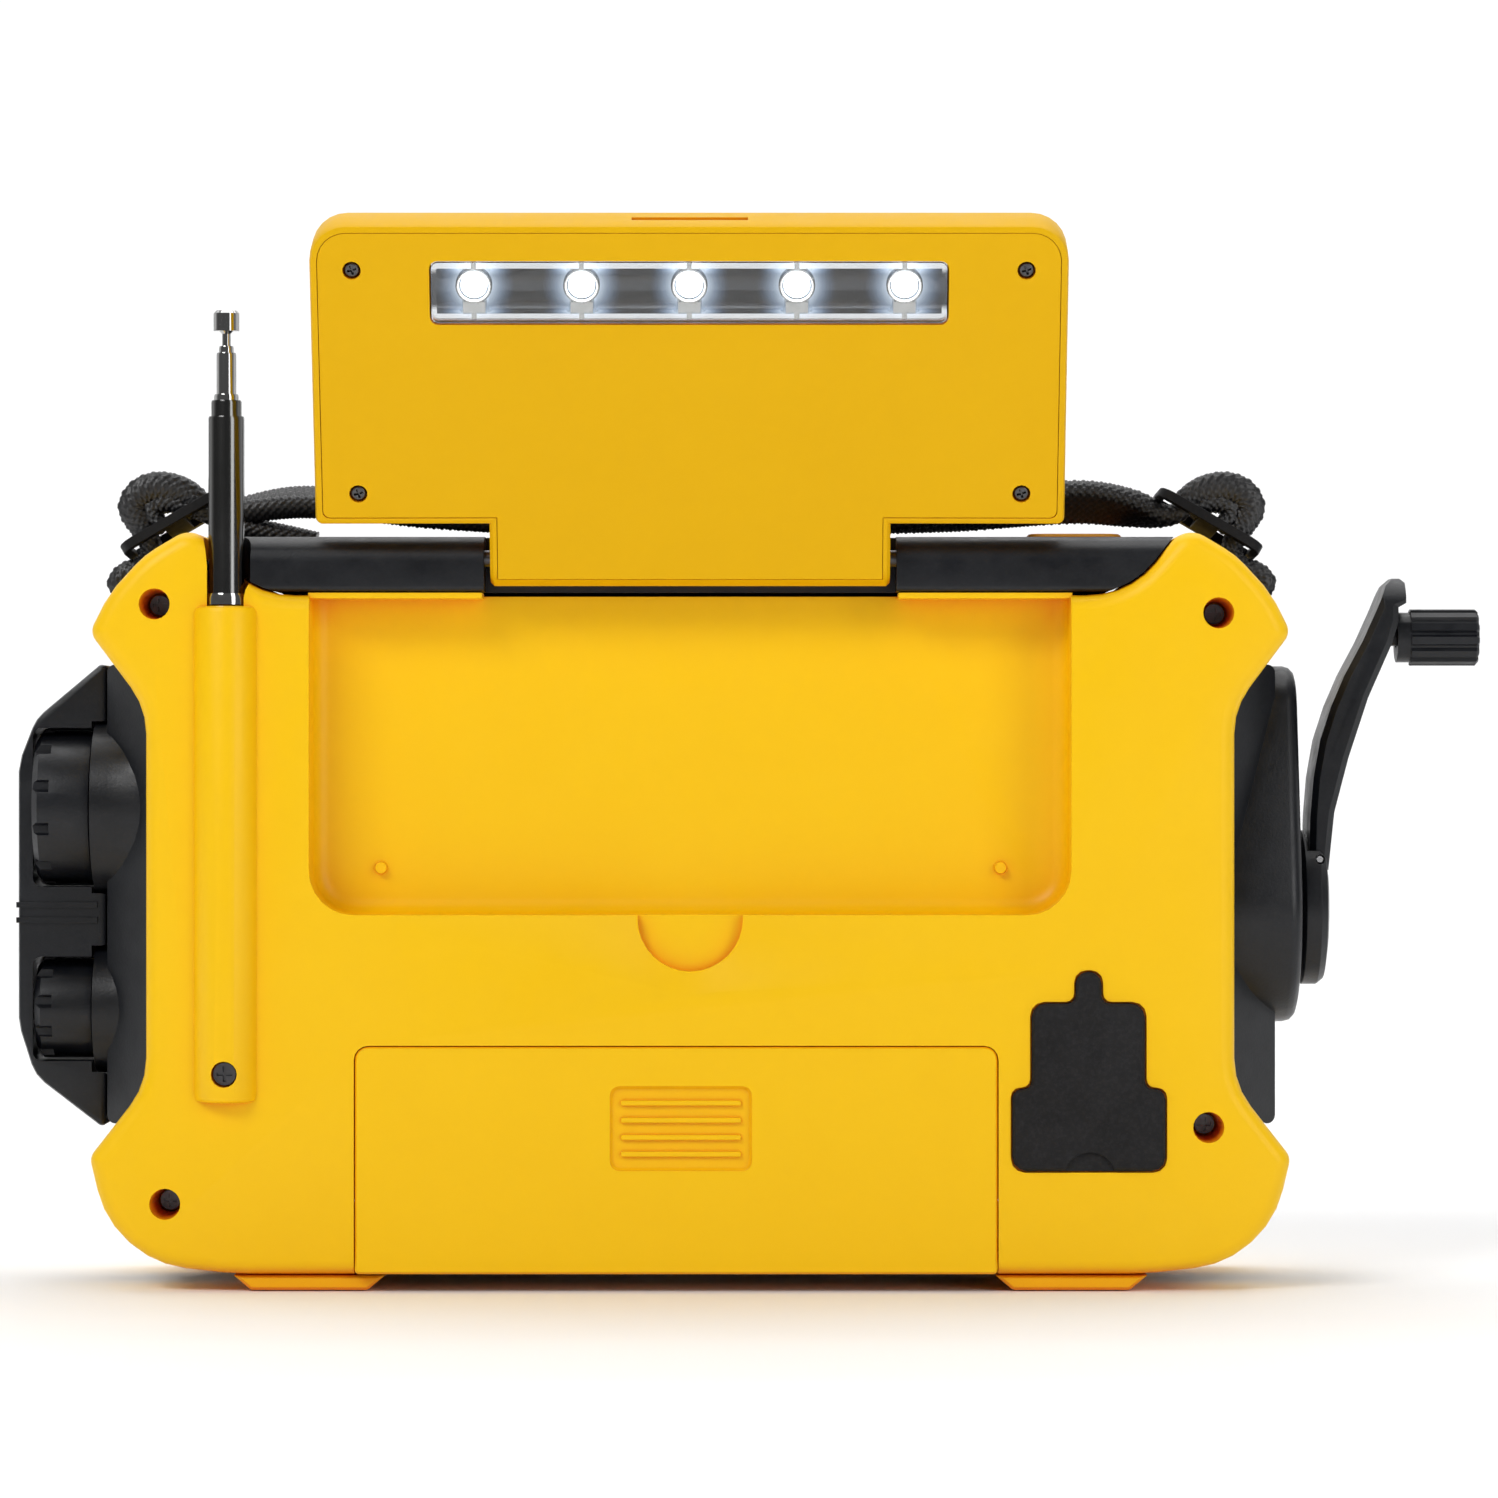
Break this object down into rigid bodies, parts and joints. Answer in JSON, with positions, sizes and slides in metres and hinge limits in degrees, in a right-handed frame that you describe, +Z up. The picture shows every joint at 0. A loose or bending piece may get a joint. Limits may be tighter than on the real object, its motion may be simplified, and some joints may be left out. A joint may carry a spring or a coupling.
{
  "type": "emergency crank radio",
  "caption": "Portable emergency radio with a hinged lamp and solar panel, telescopic aerial, folding hand crank, side knobs and a carrying strap.",
  "frame": {"origin": "centre of the whole object's footprint box, at the height of the feet it stands on", "axes": "+X to the right seen from the back, towards the crank; +Y from the back towards the front; +Z up"},
  "size_m": [0.269, 0.0816, 0.1929],
  "materials": {
    "yellow_plastic": "fine satin moulded plastic, slightly translucent",
    "panel_plastic": "fine satin moulded plastic, a little deeper yellow",
    "black_plastic": "fine matte spark-eroded texture",
    "rubber": "grainy matte rubber",
    "chrome": "polished",
    "steel": "bright plated",
    "black_steel": "black oxide",
    "clear_plastic": "clear, glossy",
    "solar_cell": "dark cells with thin silver lines under clear resin",
    "circuit_board": "solder mask",
    "lamp_board": "white LED domes, lit",
    "orange_plastic": "satin",
    "nylon": "natural nylon",
    "ferrite": "sintered, matte",
    "cell_wrap": "shrink sleeve",
    "webbing": "braided nylon webbing"
  },
  "bodies": {
    "case": {"rear_shell": "yellow_plastic", "middle_case": "black_plastic", "front_frame": "yellow_plastic", "front_panel": "black_plastic", "display_window": "clear_plastic", "side_panel_left": "black_plastic", "side_panel_right": "black_plastic", "knob_guard": "black_plastic", "foot_left": "yellow_plastic", "foot_right": "yellow_plastic", "port_block": "black_plastic", "aerial_base": "chrome", "aerial_screw": "black_steel", "case_screw_1": "black_steel", "case_screw_2": "black_steel", "case_screw_3": "black_steel", "case_screw_4": "black_steel", "panel_hinge_pin": "steel", "aa_cell_1": "cell_wrap", "aa_cell_2": "cell_wrap", "aa_cell_3": "cell_wrap", "battery_pack": "cell_wrap", "main_board": "circuit_board", "speaker": "black_plastic", "ferrite_rod": "ferrite", "control_block": "ferrite", "generator": "steel", "strap": "webbing", "strap_slider_left": "black_plastic", "strap_slider_right": "black_plastic"},
    "lamp_panel": {"panel_housing": "panel_plastic", "panel_cover": "panel_plastic", "solar_plate": "solar_cell", "lamp_lens": "clear_plastic", "lamp_reflector": "chrome", "lamp_board": "lamp_board", "panel_screw_1": "black_steel", "panel_screw_2": "black_steel", "panel_screw_3": "black_steel", "panel_screw_4": "black_steel"},
    "crank": {"crank_hub": "black_plastic", "crank_fold_pin": "steel", "drive_gear": "nylon"},
    "crank_arm": {"crank_arm": "black_plastic"},
    "crank_grip": {"crank_grip": "black_plastic"},
    "idler": {"idler_gear": "nylon"},
    "pinion": {"generator_pinion": "steel"},
    "tuning_knob": {"tuning_knob": "black_plastic"},
    "volume_knob": {"volume_knob": "black_plastic"},
    "aerial_1": {"aerial_section_1": "chrome"},
    "aerial_2": {"aerial_section_2": "chrome"},
    "aerial_3": {"aerial_section_3": "chrome"},
    "aerial_4": {"aerial_section_4": "chrome"},
    "aerial_5": {"aerial_section_5": "chrome"},
    "aerial_tip": {"aerial_rod": "chrome"},
    "battery_door": {"battery_door": "yellow_plastic"},
    "port_cover": {"port_cover": "rubber"},
    "light_button": {"light_button": "orange_plastic"},
    "front_key_1": {"front_key_1": "orange_plastic"},
    "front_key_2": {"front_key_2": "black_plastic"}
  },
  "joints": [
    {"name": "panel_hinge", "type": "hinge", "parent": "case", "child": "lamp_panel", "pos_m": [-0.0106, -0.01478, 0.132], "axis": [1, 0, 0], "range_deg": [-20, 160]},
    {"name": "crank_spin", "type": "hinge", "parent": "case", "child": "crank", "pos_m": [0.0894, 0.01022, 0.0684], "axis": [1, 0, 0], "continuous": true},
    {"name": "idler_spin", "type": "hinge", "parent": "case", "child": "idler", "pos_m": [0.0744, 0.01022, 0.046], "axis": [1, 0, 0], "continuous": true},
    {"name": "pinion_spin", "type": "hinge", "parent": "case", "child": "pinion", "pos_m": [0.0694, 0.01022, 0.0276], "axis": [1, 0, 0], "continuous": true},
    {"name": "crank_fold", "type": "hinge", "parent": "crank", "child": "crank_arm", "pos_m": [0.1046, 0.01022, 0.0774], "axis": [0, 1, 0], "range_deg": [-6, 0]},
    {"name": "grip_spin", "type": "hinge", "parent": "crank_arm", "child": "crank_grip", "pos_m": [0.1254, 0.01022, 0.1182], "axis": [1, 0, 0], "continuous": true},
    {"name": "tuning_turn", "type": "hinge", "parent": "case", "child": "tuning_knob", "pos_m": [-0.1206, 0.01022, 0.0869], "axis": [1, 0, 0], "range_deg": [-150, 150]},
    {"name": "volume_turn", "type": "hinge", "parent": "case", "child": "volume_knob", "pos_m": [-0.1206, 0.01022, 0.0499], "axis": [1, 0, 0], "range_deg": [-150, 150]},
    {"name": "aerial_slide_1", "type": "slide", "parent": "case", "child": "aerial_1", "axis": [0, 0, 1], "range_m": [-0.032, 0.03]},
    {"name": "aerial_slide_2", "type": "slide", "parent": "aerial_1", "child": "aerial_2", "axis": [0, 0, 1], "range_m": [-0.0029, 0.066]},
    {"name": "aerial_slide_3", "type": "slide", "parent": "aerial_2", "child": "aerial_3", "axis": [0, 0, 1], "range_m": [-0.0011, 0.066]},
    {"name": "aerial_slide_4", "type": "slide", "parent": "aerial_3", "child": "aerial_4", "axis": [0, 0, 1], "range_m": [-0.0075, 0.066]},
    {"name": "aerial_slide_5", "type": "slide", "parent": "aerial_4", "child": "aerial_5", "axis": [0, 0, 1], "range_m": [-0.0012, 0.066]},
    {"name": "aerial_slide_6", "type": "slide", "parent": "aerial_5", "child": "aerial_tip", "axis": [0, 0, 1], "range_m": [-0.0023, 0.066]},
    {"name": "battery_door_lift", "type": "slide", "parent": "case", "child": "battery_door", "axis": [0, -1, 0], "range_m": [0, 0.025]},
    {"name": "port_cover_swing", "type": "hinge", "parent": "case", "child": "port_cover", "pos_m": [0.0611, -0.02068, 0.0574], "axis": [-1, 0, 0], "range_deg": [0, 100]},
    {"name": "light_button_press", "type": "slide", "parent": "case", "child": "light_button", "axis": [0, 0, -1], "range_m": [0, 0.001], "stiffness_N_per_m": 600},
    {"name": "front_key_1_press", "type": "slide", "parent": "case", "child": "front_key_1", "axis": [0, -1, 0], "range_m": [0, 0.0006], "stiffness_N_per_m": 600},
    {"name": "front_key_2_press", "type": "slide", "parent": "case", "child": "front_key_2", "axis": [0, -1, 0], "range_m": [0, 0.0006], "stiffness_N_per_m": 600}
  ],
  "couplings": [
    {"joint": "idler_spin", "follows": "crank_spin", "ratio": -3.6667},
    {"joint": "pinion_spin", "follows": "crank_spin", "ratio": 13.2}
  ]
}
